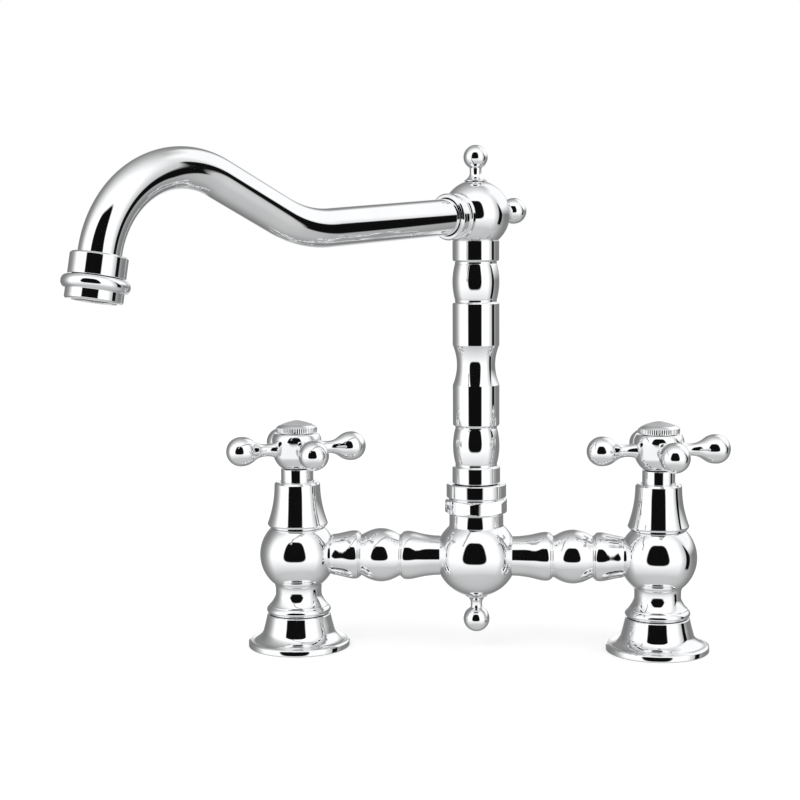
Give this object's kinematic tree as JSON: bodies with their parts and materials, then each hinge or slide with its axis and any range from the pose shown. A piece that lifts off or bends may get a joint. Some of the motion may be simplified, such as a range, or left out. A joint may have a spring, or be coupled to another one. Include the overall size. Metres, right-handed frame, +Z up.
{
  "type": "bridge kitchen faucet",
  "caption": "Bridge kitchen faucet with a turned column, a swivelling swan-neck spout and quarter-turn cross handles on round feet.",
  "frame": {"origin": "on the deck surface, midway between the hot and the cold inlet", "axes": "+X towards the cold valve, -Y towards the user, +Z up out of the deck"},
  "size_m": [0.3187, 0.2481, 0.2827],
  "materials": {
    "chrome": "polished mirror chrome plate",
    "brass": "bare machined brass",
    "steel": "stainless, machined",
    "rubber": "matt black sealing rubber",
    "ceramic": "lapped white ceramic",
    "acetal": "natural white moulded plastic",
    "porcelain": "glazed, glossy pale grey-white"
  },
  "bodies": {
    "base": {"hot_foot": "chrome", "hot_deck_gasket": "rubber", "hot_valve_body": "chrome", "hot_inlet_shank": "brass", "hot_cartridge_body": "brass", "hot_seat_seal": "rubber", "hot_spindle_o_ring": "rubber", "hot_bonnet": "chrome", "hot_fixed_disc": "ceramic", "cold_foot": "chrome", "cold_deck_gasket": "rubber", "cold_valve_body": "chrome", "cold_inlet_shank": "brass", "cold_cartridge_body": "brass", "cold_seat_seal": "rubber", "cold_spindle_o_ring": "rubber", "cold_bonnet": "chrome", "cold_fixed_disc": "ceramic", "hot_bridge_arm": "chrome", "hot_arm_centre_seal": "rubber", "hot_arm_valve_seal": "rubber", "cold_bridge_arm": "chrome", "cold_arm_centre_seal": "rubber", "cold_arm_valve_seal": "rubber", "centre_body": "chrome", "union_nut": "chrome", "swivel_bush": "acetal", "bottom_finial": "chrome"},
    "hot_handle": {"hot_moving_disc": "ceramic", "hot_spindle": "brass", "hot_handle_sleeve": "chrome", "hot_cross_handle": "chrome", "hot_handle_screw": "steel", "hot_index_ring": "chrome", "hot_index_dome": "porcelain"},
    "cold_handle": {"cold_moving_disc": "ceramic", "cold_spindle": "brass", "cold_handle_sleeve": "chrome", "cold_cross_handle": "chrome", "cold_handle_screw": "steel", "cold_index_ring": "chrome", "cold_index_dome": "porcelain"},
    "spout": {"column": "chrome", "column_retaining_ring": "steel", "column_lower_o_ring": "rubber", "column_upper_o_ring": "rubber", "head": "chrome", "top_finial": "chrome", "spout_tube": "chrome", "spout_collar": "chrome", "rear_finial": "chrome", "outlet_sleeve": "chrome", "outlet_shell": "chrome", "outlet_washer": "rubber", "outlet_insert": "acetal"}
  },
  "joints": [
    {"name": "spout_swivel", "type": "hinge", "parent": "base", "child": "spout", "pos_m": [0, 0, 0], "axis": [0, 0, 1], "continuous": true},
    {"name": "hot_handle_turn", "type": "hinge", "parent": "base", "child": "hot_handle", "pos_m": [-0.1016, 0, 0], "axis": [0, 0, 1], "range_deg": [0, 90]},
    {"name": "cold_handle_turn", "type": "hinge", "parent": "base", "child": "cold_handle", "pos_m": [0.1016, 0, 0], "axis": [0, 0, 1], "range_deg": [-90, 0]}
  ]
}
